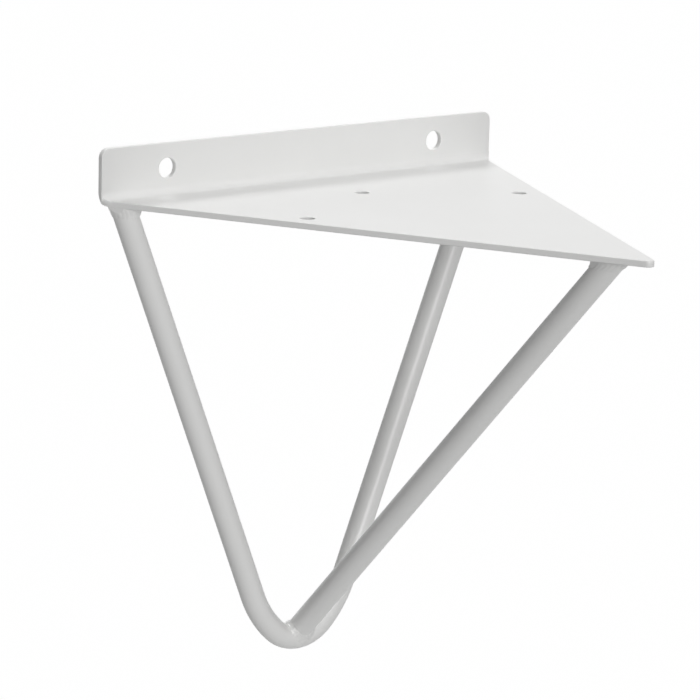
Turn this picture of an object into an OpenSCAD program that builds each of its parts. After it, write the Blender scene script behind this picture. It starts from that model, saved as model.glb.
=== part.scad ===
// Shelf bracket for the wall: a folded triangular plate carried by a bent rear rod and a front rod.
// X runs along the wall, Y runs into the wall and Z is up. The flange's back face is the plane y = 0,
// and the origin lies on that face, midway between the two wall screw holes.

/* [Folded plate] */
// Width of the plate and of its flange, along the wall
plate_w = 160; // [140:1:220]
// Depth of the shelf face, from the flange's front face to the tip
shelf_depth = 160.5; // [130:0.5:220]
// Thickness of the sheet
sheet_t = 2; // [1.5:0.25:3]
// Height of the flange above the shelf face
flange_h = 16.2; // [15:0.1:30]
// Inside radius of the fold
fold_r = 2.5; // [1:0.25:4]
// Radius of the flange's two top corners
corner_r = 3; // [1:0.5:6]
// Radius of the tip
tip_r = 2; // [1:0.25:4]

/* [Wall screw holes] */
// Diameter of the wall screw holes
wall_hole_d = 6.5; // [4:0.25:8]
// Distance between the two wall screw holes
wall_hole_spacing = 110; // [60:1:125]
// Height of the wall screw holes above the shelf face
wall_hole_h = 8.2; // [7.5:0.1:10]

/* [Shelf screw holes] */
// Diameter of the three shelf screw holes
shelf_hole_d = 4.5; // [3:0.25:6]
// Distance between the two side holes
side_hole_spacing = 86.5; // [40:0.5:90]
// Distance of the side holes from the wall
side_hole_reach = 58; // [30:1:62]
// Distance of the centre hole from the wall
centre_hole_reach = 31.5; // [20:0.5:90]

/* [Rods] */
// Diameter of the round bar that both rods are cut from
rod_d = 8; // [6:0.5:9]
// Height of the whole bracket, from the flange's top edge to the bottom of the bend
bracket_h = 175; // [140:1:240]
// Distance from the end of the plate to the centre of a rear leg, where the leg meets the plate
leg_inset = 6.6; // [6:0.1:30]
// Radius of the bend's tight arc at the bottom, to the rod's centre line
apex_r = 14.5; // [12:0.5:20]
// Angle that the tight arc covers on each side of the middle
apex_angle = 42; // [25:1:45]
// Radius of the gentle arcs between the tight one and the legs
flank_r = 37; // [25:1:50]
// Distance from the tip to the centre of the front rod, where the rod meets the plate
front_inset = 15.7; // [14:0.1:40]
// Height of the front rod's centre line above the bend's, where the two rods meet
foot_rise = 2.1; // [0:0.1:3]

/* [Weld beads] */
// Height of a bead under the plate
bead_h = 3; // [2.5:0.25:5]
// Thickness of a bead round its rod
bead_w = 0.4; // [0.2:0.1:1]
// Depth to which a bead fills the sharp corner between its rod and the plate
fill_h = 2.5; // [1:0.25:5]
// How far the fill stands out beside its rod
fill_w = 0.7; // [0.3:0.1:1.5]
// How far the bead at the front rod's foot stands out from the rod
foot_bead_w = 0.8; // [0.6:0.1:2.5]
// Length of the bead at the front rod's foot, along the rod
foot_bead_len = 6; // [5:0.5:14]

/* [Hidden] */
$fn = 96;

// Amount by which a cutting shape runs past the faces that it cuts
past = 5;
// The bar draws in by a hair on each tighter stretch of the rear rod, and each tighter stretch
// runs on for a short way inside the thicker one that it passes into
draw = 0.03;
lap = 0.5;
// Distance behind the start of the fold from which a rear bead fills the gap over its sawn leg
gap_start = 1;

half_w = plate_w / 2;
rod_r = rod_d / 2;
flank_bar_r = rod_r - draw;
apex_bar_r = rod_r - 2 * draw;
shelf_z = -wall_hole_h;
under_z = shelf_z - sheet_t;
top_z = shelf_z + flange_h;
tip_y = -(sheet_t + shelf_depth);
fold_end_y = -(sheet_t + fold_r);

// The plate's sides start at the flange's ends and run tangent to the round tip
tip_centre_y = tip_y + tip_r;
side_angle = atan2(half_w, -tip_centre_y) - asin(tip_r / norm([half_w, tip_centre_y]));
tip_tangent = [tip_r * cos(side_angle), tip_centre_y - tip_r * sin(side_angle)];
fold_end_x = half_w + fold_end_y * tan(side_angle);

// Rear rod, in a plane that puts it against the wall: a tight arc, then a gentle arc and a straight
// leg on each side, each tangent to the next. The flank values are those of the right side
rod_y = -rod_r;
bend_low_z = top_z - bracket_h + apex_bar_r;
apex_z = bend_low_z + apex_r;
flank_x = -(flank_r - apex_r) * sin(apex_angle);
flank_z = apex_z + (flank_r - apex_r) * cos(apex_angle);
leg_top_x = half_w - leg_inset;
leg_run = [leg_top_x - flank_x, under_z - flank_z];
leg_lean = atan2(leg_run[0], leg_run[1]) - asin(flank_r / norm(leg_run));
leg_len = sqrt(pow(norm(leg_run), 2) - pow(flank_r, 2));

// Front rod: from the front of the bend up to the underside of the plate, near the tip
front_top_y = tip_y + front_inset;
foot_z = bend_low_z + foot_rise;
front_run = [rod_y - front_top_y, under_z - foot_z];
front_lean = atan2(front_run[0], front_run[1]);

// Block whose lower right corner is round
module round_corner_block(left, right, low, high, r) {
    translate([left, low + r]) square([right - left, high - low - r]);
    translate([left, low]) square([right - left - r, high - low]);
    translate([right - r, low + r]) circle(r = r);
}

// What the folded sheet holds between its outer faces and the air over the shelf face, seen along X
module fold_envelope() {
    round_corner_block(tip_y - past, 0, under_z, top_z, sheet_t + fold_r);
}

// Section of the folded sheet, seen along X
module fold_section() {
    difference() {
        fold_envelope();
        round_corner_block(tip_y - 2 * past, -sheet_t, shelf_z, top_z + past, fold_r);
    }
}

// Draws its children as a section seen along X, over the plate's whole width
module along_wall() {
    translate([-half_w, 0, 0]) rotate([90, 0, 90]) linear_extrude(plate_w) children();
}

// The plate's outline from above as a column: the sides run in within the fold and on to the tip
module plan_column(low, high) {
    right_side = [[half_w, past], [half_w, -sheet_t], [fold_end_x, fold_end_y], tip_tangent];
    left_side = [for (i = [3:-1:0]) [-right_side[i][0], right_side[i][1]]];
    translate([0, 0, low]) linear_extrude(high - low) polygon(concat(right_side, left_side));
    translate([0, tip_centre_y, low]) cylinder(r = tip_r, h = high - low);
}

// Outline of the flange seen from the front, with its two top corners round
module flange_outline() {
    low = under_z - past;
    translate([-half_w, low]) square([plate_w, top_z - corner_r - low]);
    translate([-half_w + corner_r, low]) square([plate_w - 2 * corner_r, top_z - low]);
    for (side = [-1, 1])
        translate([side * (half_w - corner_r), top_z - corner_r]) circle(r = corner_r);
}

module wall_holes() {
    for (side = [-1, 1])
        translate([side * wall_hole_spacing / 2, past, 0])
            rotate([90, 0, 0]) cylinder(d = wall_hole_d, h = sheet_t + 2 * past);
}

module shelf_holes() {
    places = [
        [-side_hole_spacing / 2, -side_hole_reach],
        [side_hole_spacing / 2, -side_hole_reach],
        [0, -centre_hole_reach]
    ];
    for (p = places)
        translate([p[0], p[1], under_z - past])
            cylinder(d = shelf_hole_d, h = sheet_t + 2 * past);
}

// The sheet as cut and folded, without its holes
module sheet() {
    intersection() {
        along_wall() fold_section();
        plan_column(under_z - past, top_z + past);
        translate([0, past, 0]) rotate([90, 0, 0]) linear_extrude(past - tip_y + past) flange_outline();
    }
}

// Everything in front of the wall between two heights
module in_front(low, high) {
    translate([-half_w - past, tip_y - past, low]) cube([plate_w + 2 * past, past - tip_y, high - low]);
}

// Bar bent in the rear rod's plane, between two angles that are 0 along X and -90 straight down
module bent_bar(centre, bend_r, bar_r, start, end) {
    translate([centre[0], rod_y, centre[1]]) rotate([90, 0, 0]) rotate([0, 0, start])
        rotate_extrude(angle = end - start) translate([bend_r, 0]) circle(r = bar_r);
}

// Angle that an arc turns through along the lap
function lap_angle(bend_r) = lap / bend_r * 180 / PI;

// The tight arc, which the parts that meet it are shaped to
module apex() {
    reach = apex_angle + lap_angle(apex_r);
    bent_bar([0, apex_z], apex_r, apex_bar_r, -90 - reach, -90 + reach);
}

// Right gentle arc, between the tight one and the leg
module flank() {
    bent_bar([flank_x, flank_z], flank_r, flank_bar_r, apex_angle - 90, lap_angle(flank_r) - leg_lean);
}

// Right leg, from the end of the bend up, its top sawn level with the plate's underside
module leg() {
    intersection() {
        translate([flank_x + flank_r * cos(leg_lean), rod_y, flank_z - flank_r * sin(leg_lean)])
            rotate([0, leg_lean, 0]) cylinder(r = rod_r, h = leg_len + rod_d);
        in_front(under_z - bracket_h, under_z);
    }
}

// Places its children on the front rod: their Z is the rod's centre line, from the foot up
module on_front_rod() {
    translate([0, rod_y, foot_z]) rotate([front_lean, 0, 0]) children();
}

// Straight bar, sawn square at the foot and level with the plate's underside at the top
module front_rod_solid() {
    intersection() {
        on_front_rod() cylinder(r = rod_r, h = norm(front_run) + 2 * rod_d);
        in_front(under_z - bracket_h, under_z);
    }
}

// Bead between a leaning rod and the plate, drawn where the rod's centre line meets the underside,
// with the sharp corner at +X: a ring along the rod, and a fill whose face is square to the plate
module bead(lean, rise) {
    fill_reach = rod_r / cos(lean) + fill_h * tan(lean);
    intersection() {
        union() {
            rotate([0, -lean, 0]) cylinder(r = rod_r + bead_w, h = 4 * rod_d, center = true);
            translate([fill_reach - rod_r - fill_w, 0, 0])
                cylinder(r = rod_r + fill_w, h = 2 * rod_d, center = true);
        }
        translate([-2 * rod_d, -2 * rod_d, -bead_h]) cube([4 * rod_d, 4 * rod_d, bead_h + rise]);
    }
}

module folded_plate() {
    color("gainsboro") difference() {
        sheet();
        wall_holes();
        shelf_holes();
    }
}

// One bar bent into a V with a round bottom
module rear_rod() {
    color("whitesmoke") {
        apex();
        for (side = [0, 1])
            mirror([side, 0, 0]) {
                flank();
                leg();
            }
    }
}

// The foot is coped to the bend that it is welded to
module front_rod() {
    color("whitesmoke") difference() {
        front_rod_solid();
        apex();
    }
}

// Bead between the right leg and the plate, filled up behind to the outside of the fold
module weld_rear() {
    color("lightgray") difference() {
        intersection() {
            translate([leg_top_x, rod_y, under_z]) mirror([1, 0, 0]) bead(leg_lean, sheet_t + fold_r);
            plan_column(under_z - rod_d, top_z);
            in_front(under_z - rod_d, top_z);
        }
        leg();
        along_wall() fold_envelope();
        translate([0, tip_y, under_z]) cube([plate_w, fold_end_y + gap_start - tip_y, rod_d]);
    }
}

module weld_rear_left() {
    mirror([1, 0, 0]) weld_rear();
}

module weld_rear_right() {
    weld_rear();
}

// Bead between the front rod and the plate
module weld_front() {
    color("lightgray") difference() {
        intersection() {
            translate([0, front_top_y, under_z]) rotate([0, 0, 90]) bead(front_lean, 0);
            plan_column(under_z - rod_d, under_z + past);
        }
        front_rod_solid();
    }
}

// Bead between the front rod's foot and the bend, built up over the crown of the bend
module weld_foot() {
    color("lightgray") difference() {
        intersection() {
            union() {
                on_front_rod() cylinder(r1 = rod_r + foot_bead_w, r2 = rod_r + bead_w, h = foot_bead_len);
                translate([0, rod_y, foot_z + rod_r / 4]) sphere(r = rod_r + foot_bead_w / 2);
            }
            in_front(-bracket_h, 0);
        }
        apex();
        front_rod_solid();
    }
}

folded_plate();
rear_rod();
front_rod();
weld_rear_left();
weld_rear_right();
weld_front();
weld_foot();
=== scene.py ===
import math
import bmesh
import bpy
from mathutils import Matrix, Vector, noise


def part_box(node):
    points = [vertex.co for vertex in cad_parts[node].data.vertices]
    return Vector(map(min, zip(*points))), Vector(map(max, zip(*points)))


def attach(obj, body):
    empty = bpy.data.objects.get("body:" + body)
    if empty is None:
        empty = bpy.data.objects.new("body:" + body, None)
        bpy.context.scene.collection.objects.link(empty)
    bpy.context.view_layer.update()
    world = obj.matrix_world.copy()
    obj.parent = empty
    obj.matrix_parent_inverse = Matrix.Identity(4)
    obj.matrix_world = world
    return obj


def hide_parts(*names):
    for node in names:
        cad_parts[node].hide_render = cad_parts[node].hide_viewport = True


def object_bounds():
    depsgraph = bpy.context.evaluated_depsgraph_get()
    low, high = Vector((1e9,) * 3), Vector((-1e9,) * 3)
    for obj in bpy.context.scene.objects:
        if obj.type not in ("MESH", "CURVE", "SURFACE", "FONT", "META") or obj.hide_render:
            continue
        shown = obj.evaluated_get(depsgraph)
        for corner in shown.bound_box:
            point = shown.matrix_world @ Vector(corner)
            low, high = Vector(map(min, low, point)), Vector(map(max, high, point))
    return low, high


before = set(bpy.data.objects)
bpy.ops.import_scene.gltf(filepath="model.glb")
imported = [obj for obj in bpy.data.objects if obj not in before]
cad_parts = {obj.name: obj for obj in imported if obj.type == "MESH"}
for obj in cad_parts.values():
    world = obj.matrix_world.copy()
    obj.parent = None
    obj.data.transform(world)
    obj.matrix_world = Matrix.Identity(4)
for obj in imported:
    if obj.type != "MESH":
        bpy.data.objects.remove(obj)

cad_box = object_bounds()

# The view: one camera in front of the bracket, to its left and a little above the shelf face. It
# looks to its right and down by the angles below, in radians, and is rolled a little.
EYE = Vector((-0.640361, -0.801734, 0.166211))
YAW = 0.69109
PITCH = 0.22172
ROLL = 0.02758
FOCAL_PIXELS = 3198.4
FRAME_PIXELS = 700
SENSOR_MM = 36
SEES_TO = 20

level_forward = Vector((math.sin(YAW), math.cos(YAW), 0))
forward = level_forward * math.cos(PITCH) - Vector((0, 0, math.sin(PITCH)))
level_right = Vector((math.cos(YAW), -math.sin(YAW), 0))
level_up = level_right.cross(forward)
right = level_right * math.cos(ROLL) + level_up * math.sin(ROLL)
up = level_up * math.cos(ROLL) - level_right * math.sin(ROLL)

camera = bpy.data.objects.new("camera", bpy.data.cameras.new("camera"))
turned = Matrix((right, up, -forward)).transposed().to_4x4()
camera.matrix_world = Matrix.Translation(EYE) @ turned
camera.data.sensor_width = SENSOR_MM
camera.data.lens = FOCAL_PIXELS / FRAME_PIXELS * SENSOR_MM
camera.data.clip_end = SEES_TO
bpy.context.scene.collection.objects.link(camera)
bpy.context.scene.camera = camera

# The sheet: one triangle of 2 mm mild steel, cut with its five screw holes and then folded up along
# its back edge into the flange that goes against the wall. Its cut edges are eased before coating.
EDGE_EASE = 0.0003
EDGE_STEPS = 3
SHARP_ANGLE = math.radians(60)
FLAT_ANGLE = math.radians(0.4)
CREASE_ANGLE = math.radians(50)
WELD_SHUT = 1e-6
FLAT_WEIGHT = 100

POWDER_WHITE = (0.86, 0.86, 0.85)
POWDER_IOR = 1.5
THIN_TONE = 0.965
TONE_SCALE = 35
TONE_DETAIL = 3
PEEL_DETAIL = 2
PEEL_STRENGTH = 0.5


# White powder, sprayed on and baked once the bracket is welded, with a soft gloss. It has a fine
# orange peel, and its tone varies a little with its thickness.
def powder_coat(name, roughness, peel_depth, peel_scale):
    coat = bpy.data.materials.new(name)
    coat.use_nodes = True
    tree = coat.node_tree
    shader = tree.nodes["Principled BSDF"]
    shader.inputs["Roughness"].default_value = roughness
    shader.inputs["IOR"].default_value = POWDER_IOR
    place = tree.nodes.new("ShaderNodeTexCoord")

    thickness = tree.nodes.new("ShaderNodeTexNoise")
    thickness.inputs["Scale"].default_value = TONE_SCALE
    thickness.inputs["Detail"].default_value = TONE_DETAIL
    tone = tree.nodes.new("ShaderNodeMapRange")
    tone.inputs["To Min"].default_value = THIN_TONE
    tone.inputs["To Max"].default_value = 1.0
    tint = tree.nodes.new("ShaderNodeVectorMath")
    tint.operation = "SCALE"
    tint.inputs[0].default_value = POWDER_WHITE
    tree.links.new(place.outputs["Object"], thickness.inputs["Vector"])
    tree.links.new(thickness.outputs["Fac"], tone.inputs["Value"])
    tree.links.new(tone.outputs["Result"], tint.inputs["Scale"])
    tree.links.new(tint.outputs["Vector"], shader.inputs["Base Color"])

    peel = tree.nodes.new("ShaderNodeTexNoise")
    peel.inputs["Scale"].default_value = peel_scale
    peel.inputs["Detail"].default_value = PEEL_DETAIL
    bump = tree.nodes.new("ShaderNodeBump")
    bump.inputs["Strength"].default_value = PEEL_STRENGTH
    bump.inputs["Distance"].default_value = peel_depth
    tree.links.new(place.outputs["Object"], peel.inputs["Vector"])
    tree.links.new(peel.outputs["Fac"], bump.inputs["Height"])
    tree.links.new(bump.outputs["Normal"], shader.inputs["Normal"])
    return coat


# Closes a form's seams, turns its faces outwards and makes it a piece that rides with the bracket
def coated_piece(form, name, coat, stands_for):
    bmesh.ops.remove_doubles(form, verts=form.verts, dist=WELD_SHUT)
    bmesh.ops.recalc_face_normals(form, faces=form.faces)
    for face in form.faces:
        face.smooth = True
    for edge in form.edges:
        edge.smooth = edge.calc_face_angle(0) < CREASE_ANGLE
    mesh = bpy.data.meshes.new(name)
    form.to_mesh(mesh)
    form.free()
    mesh.materials.append(coat)
    piece = bpy.data.objects.new(name, mesh)
    bpy.context.scene.collection.objects.link(piece)
    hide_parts(stands_for)
    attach(piece, "root")
    return piece


sheet_coat = powder_coat("sheet_coat", roughness=0.38, peel_depth=0.00003, peel_scale=1400)
form = bmesh.new()
form.from_mesh(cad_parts["folded_plate"].data)
bmesh.ops.remove_doubles(form, verts=form.verts, dist=WELD_SHUT)
bmesh.ops.dissolve_limit(form, angle_limit=FLAT_ANGLE, verts=form.verts, edges=form.edges)
cut_edges = [edge for edge in form.edges if edge.calc_face_angle(0) > SHARP_ANGLE]
bmesh.ops.bevel(
    form, geom=cut_edges, offset=EDGE_EASE, segments=EDGE_STEPS, profile=0.5, affect="EDGES",
    material=-1)
sheet = coated_piece(form, "sheet", sheet_coat, "folded_plate")
flat_first = sheet.modifiers.new("flat_first", "WEIGHTED_NORMAL")
flat_first.weight = FLAT_WEIGHT

# The rear rod: one 8 mm steel bar, bent cold into a V with a round bottom and laid against the
# wall. A tight arc at the bottom runs into a gentler one on each side, and these into the legs.
BAR_R = 0.004
BAR_SIDES = 64
LEG_TOP_X = 0.0734
APEX_R = 0.0145
APEX_ANGLE = math.radians(42)
FLANK_R = 0.037
ARC_STEP = math.radians(3)

lowest, highest = (Vector(corner) for corner in cad_box)
under_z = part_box("folded_plate")[0].z
bend_low_z = lowest.z + BAR_R
apex_middle = Vector((0, -BAR_R, bend_low_z + APEX_R))
flank_shift = (FLANK_R - APEX_R) * Vector((math.sin(APEX_ANGLE), 0, math.cos(APEX_ANGLE)))
left_flank_middle = apex_middle + flank_shift
right_flank_middle = apex_middle + flank_shift * Vector((-1, 1, 1))
leg_run = Vector((LEG_TOP_X - right_flank_middle.x, under_z - right_flank_middle.z))
leg_lean = math.atan2(leg_run.x, leg_run.y) - math.asin(FLANK_R / leg_run.length)
leg_length = math.sqrt(leg_run.length_squared - FLANK_R ** 2)
flank_turn = math.pi / 2 - APEX_ANGLE - leg_lean
down_the_leg = Vector((math.sin(leg_lean), 0, -math.cos(leg_lean)))
up_the_leg = Vector((math.sin(leg_lean), 0, math.cos(leg_lean)))


# Draws a bar's open end on in a straight line, and returns the new end
def draw_on(form, end, run):
    drawn = bmesh.ops.extrude_edge_only(form, edges=end)["geom"]
    drawn_points = [part for part in drawn if isinstance(part, bmesh.types.BMVert)]
    bmesh.ops.translate(form, verts=drawn_points, vec=run)
    return [part for part in drawn if isinstance(part, bmesh.types.BMEdge) and part.is_boundary]


# Bends a bar's open end on round a centre, as seen from the front from left to right
def bend_on(form, end, middle, turn):
    bent = bmesh.ops.spin(
        form, geom=end, cent=middle, axis=(0, -1, 0), angle=turn, steps=round(turn / ARC_STEP))
    return [part for part in bent["geom_last"] if isinstance(part, bmesh.types.BMEdge)]


# Saws a bar level with the underside of the sheet and closes its ends
def saw_and_close(form):
    bmesh.ops.bisect_plane(
        form, geom=list(form.verts) + list(form.edges) + list(form.faces), dist=WELD_SHUT,
        plane_co=(0, 0, under_z), plane_no=(0, 0, 1), clear_outer=True)
    open_edges = [edge for edge in form.edges if edge.is_boundary]
    bmesh.ops.holes_fill(form, edges=open_edges, sides=0)


rod_coat = powder_coat("rod_coat", roughness=0.36, peel_depth=0.00003, peel_scale=1300)
form = bmesh.new()
bmesh.ops.create_circle(form, segments=BAR_SIDES, radius=BAR_R)
bmesh.ops.rotate(form, verts=form.verts, matrix=Matrix.Rotation(-leg_lean, 3, "Y"))
leg_top = Vector((-LEG_TOP_X, -BAR_R, under_z))
bmesh.ops.translate(form, verts=form.verts, vec=leg_top - down_the_leg * 2 * BAR_R)
end = draw_on(form, list(form.edges), down_the_leg * (2 * BAR_R + leg_length))
end = bend_on(form, end, left_flank_middle, flank_turn)
end = bend_on(form, end, apex_middle, 2 * APEX_ANGLE)
end = bend_on(form, end, right_flank_middle, flank_turn)
draw_on(form, end, up_the_leg * (2 * BAR_R + leg_length))
saw_and_close(form)
coated_piece(form, "rear_bar", rod_coat, "rear_rod")

# The front rod: a straight length of the same bar, from the bend up to the sheet near its tip. Its
# top is sawn level with the sheet's underside, and its foot is set into the crown of the bend.
FRONT_INSET = 0.0157
FOOT_RISE = 0.0021

foot = Vector((0, -BAR_R, bend_low_z + FOOT_RISE))
front_top = Vector((0, lowest.y + FRONT_INSET, under_z))
front_run = front_top - foot
front_lean = math.atan2(-front_run.y, front_run.z)
form = bmesh.new()
bmesh.ops.create_circle(form, segments=BAR_SIDES, radius=BAR_R)
bmesh.ops.rotate(form, verts=form.verts, matrix=Matrix.Rotation(front_lean, 3, "X"))
bmesh.ops.translate(form, verts=form.verts, vec=foot)
draw_on(form, list(form.edges), front_run * (1 + 2 * BAR_R / front_run.length))
saw_and_close(form)
coated_piece(form, "front_bar", rod_coat, "front_rod")

# The beads under the sheet: a ring of weld metal runs round the top of each rod, deep in the sharp
# corner between rod and sheet and thin on the open side. Behind each leg it fills the gap up to the
# fold, a hair short of the wall. It covers the sheet's eased edge, and is laid in short strokes.
BEAD_H = 0.0034
BEAD_ROOT = 0.0003
BEAD_TOE = 0.0001
BEAD_THIN = 0.0006
BEAD_ROWS = 16
BEAD_STEPS = 288
BEAD_HOLLOW = 1.15
BEAD_WANDER = 0.14
ROOT_SHARES = (0.8, 0.6, 0.4, 0.2, 0)
REAR_FILL = 0.0021
FRONT_FILL = 0.0018
STROKES = 20
STROKE_CURL = 1.4
STROKE_DRIFT = 0.7
DRIFT_SCALE = 1.5
STROKE_DEPTH = 0.0001
LUMP_DEPTH = 0.0002
LUMP_SCALE = 2
ROOT_MARKS = 0.3
MARKS_GROW = 3
FOLD_R = 0.0045
WALL_SKIN = 0.00002

side_slope = highest.x / -lowest.y


# Spins a section, given as radius and height, into a closed lump of weld metal
def spun_lump(section):
    lump = bmesh.new()
    points = [lump.verts.new((radius, 0, height)) for radius, height in section]
    lines = [lump.edges.new(pair) for pair in zip(points, points[1:])]
    bmesh.ops.spin(
        lump, geom=points + lines, cent=(0, 0, 0), axis=(0, 0, 1), angle=2 * math.pi,
        steps=BEAD_STEPS, use_merge=True)
    bmesh.ops.remove_doubles(lump, verts=lump.verts, dist=WELD_SHUT)
    return lump


# How far the strokes and lumps of a bead stand out, at a place round the rod and across the bead
def torch_marks(angle, across, seed):
    around = Vector((math.cos(angle), math.sin(angle), seed))
    stroke = STROKES * angle / (2 * math.pi) + STROKE_CURL * (across - 0.5) ** 2
    stroke += STROKE_DRIFT * noise.noise(around * DRIFT_SCALE)
    crest = 1 - (2 * (stroke % 1) - 1) ** 2
    around.z += across
    return STROKE_DEPTH * (crest - 0.5) + LUMP_DEPTH * noise.noise(around * LUMP_SCALE)


# How much deeper or shallower than its mean a bead runs, round the rod
def bead_wander(angle, seed):
    around = Vector((math.cos(angle), math.sin(angle), seed))
    return 1 + BEAD_WANDER * noise.noise(around * LUMP_SCALE)


# How far the fold's outside lies above the sheet's underside, at a distance in front of the wall
def fold_rise(y):
    into_fold = min(max(y + FOLD_R, 0), FOLD_R)
    return FOLD_R - math.sqrt(FOLD_R ** 2 - into_fold ** 2)


# A bead round a rod that leans by an angle, its sharp corner towards one side
def sheet_bead(name, rod_top, lean, sharp_side, fill, seed, stands_for):
    section = [(0, -BEAD_H), (BAR_R - BEAD_THIN, -BEAD_H)]
    for row in range(BEAD_ROWS, -1, -1):
        down = row / BEAD_ROWS
        flare = BEAD_THIN * (1 - down) ** BEAD_HOLLOW
        section.append((BAR_R + BEAD_TOE + flare, -BEAD_H * down))
    section.append((BAR_R + BEAD_TOE + BEAD_THIN, BEAD_ROOT))
    section += [(BAR_R * share, BEAD_ROOT) for share in ROOT_SHARES]
    bead = spun_lump(section)
    across = Vector((-sharp_side.y, sharp_side.x, 0))
    for vert in bead.verts:
        angle = math.atan2(vert.co.y, vert.co.x)
        radius = vert.co.xy.length
        down = -vert.co.z / BEAD_H
        if radius > BAR_R:
            toward_corner = ((1 + math.cos(angle)) / 2) ** 2
            flare = (radius - BAR_R - BEAD_TOE) / BEAD_THIN
            reach = BEAD_THIN + (fill - BEAD_THIN) * toward_corner
            radius = BAR_R + BEAD_TOE + flare * reach
            radius += torch_marks(angle, down, seed) * min(1, ROOT_MARKS + MARKS_GROW * down)
            down *= bead_wander(angle, seed)
        fall = -BEAD_H * down
        toward = radius * math.cos(angle) / math.cos(lean) - fall * math.tan(lean)
        place = rod_top + sharp_side * toward
        place += across * radius * math.sin(angle)
        place.z += fall + fold_rise(place.y) * max(0, 1 - down)
        place.y = min(place.y, -WALL_SKIN)
        edge_x = highest.x + place.y * side_slope
        place.x = min(max(place.x, -edge_x), edge_x)
        vert.co = place
    coated_piece(bead, name, weld_coat, stands_for)


weld_coat = powder_coat("weld_coat", roughness=0.34, peel_depth=0.00004, peel_scale=900)
sheet_bead(
    "rear_left_bead", leg_top, leg_lean, sharp_side=Vector((1, 0, 0)), fill=REAR_FILL, seed=3,
    stands_for="weld_rear_left")
sheet_bead(
    "rear_right_bead", leg_top * Vector((-1, 1, 1)), leg_lean, sharp_side=Vector((-1, 0, 0)),
    fill=REAR_FILL, seed=11, stands_for="weld_rear_right")
sheet_bead(
    "front_bead", front_top, front_lean, sharp_side=Vector((0, 1, 0)), fill=FRONT_FILL, seed=23,
    stands_for="weld_front")

# The bead at the foot: a fillet of weld metal that follows the saddle where the front rod's foot
# meets the crown of the bend. At the back it runs out level with the wall.
FOOT_BEAD_W = 0.0012
FOOT_BEAD_H = 0.0014
FOOT_BEAD_ROOT = 0.001
FOOT_BEAD_HOLLOW = 1.2
FOOT_STROKE_SEED = 37
FOOT_WANDER_SEED = 41


# How far up the front rod from its foot the bend's surface lies, at a place round the rod
def saddle_height(angle, radius):
    crown_curl = APEX_R - math.sqrt(APEX_R ** 2 - (radius * math.cos(angle)) ** 2)
    rise = FOOT_RISE - crown_curl
    over = radius * math.sin(angle) + rise * math.sin(front_lean)
    return math.sqrt(max(BAR_R ** 2 - over ** 2, 0)) - rise * math.cos(front_lean)


outer_r = BAR_R + BEAD_TOE + FOOT_BEAD_W
section = [(0, -FOOT_BEAD_ROOT), (BAR_R, -FOOT_BEAD_ROOT), (outer_r, -FOOT_BEAD_ROOT)]
for row in range(BEAD_ROWS + 1):
    climb = row / BEAD_ROWS
    flare = FOOT_BEAD_W * (1 - climb) ** FOOT_BEAD_HOLLOW
    section.append((BAR_R + BEAD_TOE + flare, FOOT_BEAD_H * climb))
section += [(BAR_R - BEAD_THIN, FOOT_BEAD_H), (0, FOOT_BEAD_H)]
foot_bead = spun_lump(section)
for vert in foot_bead.verts:
    angle = math.atan2(vert.co.y, vert.co.x)
    radius = vert.co.xy.length
    climb = vert.co.z / FOOT_BEAD_H
    if radius > BAR_R:
        vert.co.z *= bead_wander(angle, FOOT_WANDER_SEED)
        vert.co.xy *= 1 + torch_marks(angle, climb, FOOT_STROKE_SEED) / radius
    vert.co.z += saddle_height(angle, radius)
on_the_rod = Matrix.Translation(foot) @ Matrix.Rotation(front_lean, 4, "X")
bmesh.ops.transform(foot_bead, verts=foot_bead.verts, matrix=on_the_rod)
for vert in foot_bead.verts:
    vert.co.y = min(vert.co.y, -WALL_SKIN)
coated_piece(foot_bead, "foot_bead", weld_coat, "weld_foot")

# The studio: a pale floor well below the bracket, which hangs at its place on a wall that isn't
# shown, and three soft lamps far off: one in front, one high above the shelf face and one behind.
FLOOR_DROP = 0.3
FLOOR_SIZE = 60
FLOOR_GREY = 0.28
FLOOR_ROUGHNESS = 0.9
FLOOR_GLOW = 0.8
FLOOR_SHADE = 0.25
ROOM_LIGHT = 0.1
LAMP_SOFTNESS = math.radians(25)

floor_form = bmesh.new()
bmesh.ops.create_grid(floor_form, x_segments=1, y_segments=1, size=FLOOR_SIZE / 2)
bmesh.ops.translate(floor_form, verts=floor_form.verts, vec=(0, 0, lowest.z - FLOOR_DROP))
floor_mesh = bpy.data.meshes.new("floor")
floor_form.to_mesh(floor_mesh)
floor_form.free()
floor = bpy.data.objects.new("floor", floor_mesh)
bpy.context.scene.collection.objects.link(floor)


# Gives the camera and the reflections one shader to see, and the object the light of another
def show_white(tree, light_of, look_of, output):
    ray = tree.nodes.new("ShaderNodeLightPath")
    seen = tree.nodes.new("ShaderNodeMath")
    seen.operation = "MAXIMUM"
    mix = tree.nodes.new("ShaderNodeMixShader")
    tree.links.new(ray.outputs["Is Camera Ray"], seen.inputs[0])
    tree.links.new(ray.outputs["Is Glossy Ray"], seen.inputs[1])
    tree.links.new(seen.outputs["Value"], mix.inputs["Fac"])
    tree.links.new(light_of.outputs[0], mix.inputs[1])
    tree.links.new(look_of.outputs[0], mix.inputs[2])
    tree.links.new(mix.outputs["Shader"], output.inputs["Surface"])


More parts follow.
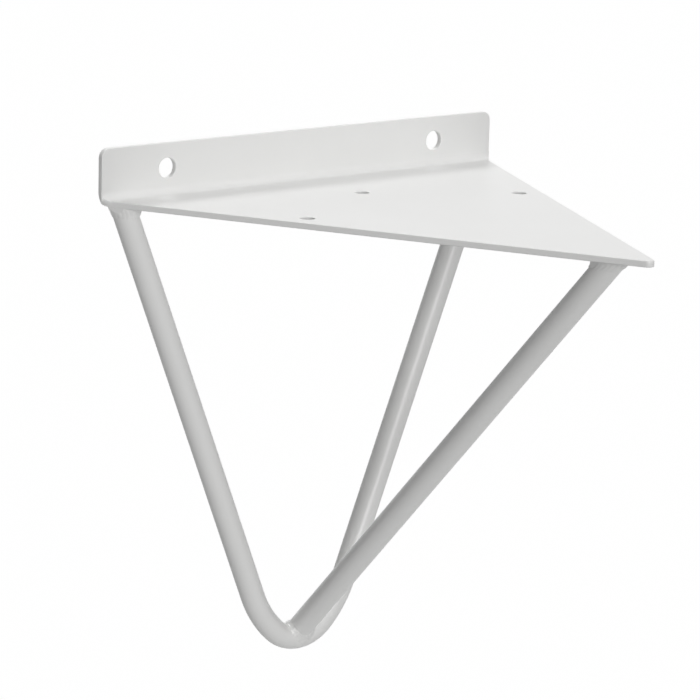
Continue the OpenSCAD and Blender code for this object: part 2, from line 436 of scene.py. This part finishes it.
# The floor looks white where the lamps reach it, and greyer in the bracket's shadow
floor_paint = bpy.data.materials.new("floor_paint")
floor_paint.use_nodes = True
floor_tree = floor_paint.node_tree
floor_shader = floor_tree.nodes["Principled BSDF"]
floor_shader.inputs["Base Color"].default_value = (FLOOR_GREY, FLOOR_GREY, FLOOR_GREY, 1)
floor_shader.inputs["Roughness"].default_value = FLOOR_ROUGHNESS
glow = floor_tree.nodes.new("ShaderNodeEmission")
glow.inputs["Strength"].default_value = FLOOR_GLOW
shade = floor_tree.nodes.new("ShaderNodeBsdfDiffuse")
shade.inputs["Color"].default_value = (FLOOR_SHADE, FLOOR_SHADE, FLOOR_SHADE, 1)
floor_look = floor_tree.nodes.new("ShaderNodeAddShader")
floor_tree.links.new(glow.outputs["Emission"], floor_look.inputs[0])
floor_tree.links.new(shade.outputs["BSDF"], floor_look.inputs[1])
show_white(floor_tree, floor_shader, floor_look, floor_tree.nodes["Material Output"])
floor.data.materials.append(floor_paint)

world = bpy.data.worlds.new("studio")
bpy.context.scene.world = world
world.use_nodes = True
world_tree = world.node_tree
room = world_tree.nodes["Background"]
room.inputs["Color"].default_value = (1, 1, 1, 1)
room.inputs["Strength"].default_value = ROOM_LIGHT
backdrop = world_tree.nodes.new("ShaderNodeBackground")
backdrop.inputs["Color"].default_value = (1, 1, 1, 1)
show_white(world_tree, room, backdrop, world_tree.nodes["World Output"])


# A large soft lamp so far off that it lights the bracket and the floor evenly
def far_lamp(name, direction, strength):
    lamp = bpy.data.objects.new(name, bpy.data.lights.new(name, "SUN"))
    lamp.data.energy = strength
    lamp.data.angle = LAMP_SOFTNESS
    lamp.location = direction
    lamp.rotation_euler = (-Vector(direction)).to_track_quat("-Z", "Y").to_euler()
    bpy.context.scene.collection.objects.link(lamp)


far_lamp("front_lamp", (-0.32, -0.93, 0.15), strength=1.65)
far_lamp("top_lamp", (0, -0.1, 1), strength=1.05)
far_lamp("back_lamp", (0.35, 0.6, 0.72), strength=1.2)

bpy.context.scene.view_settings.view_transform = "Standard"
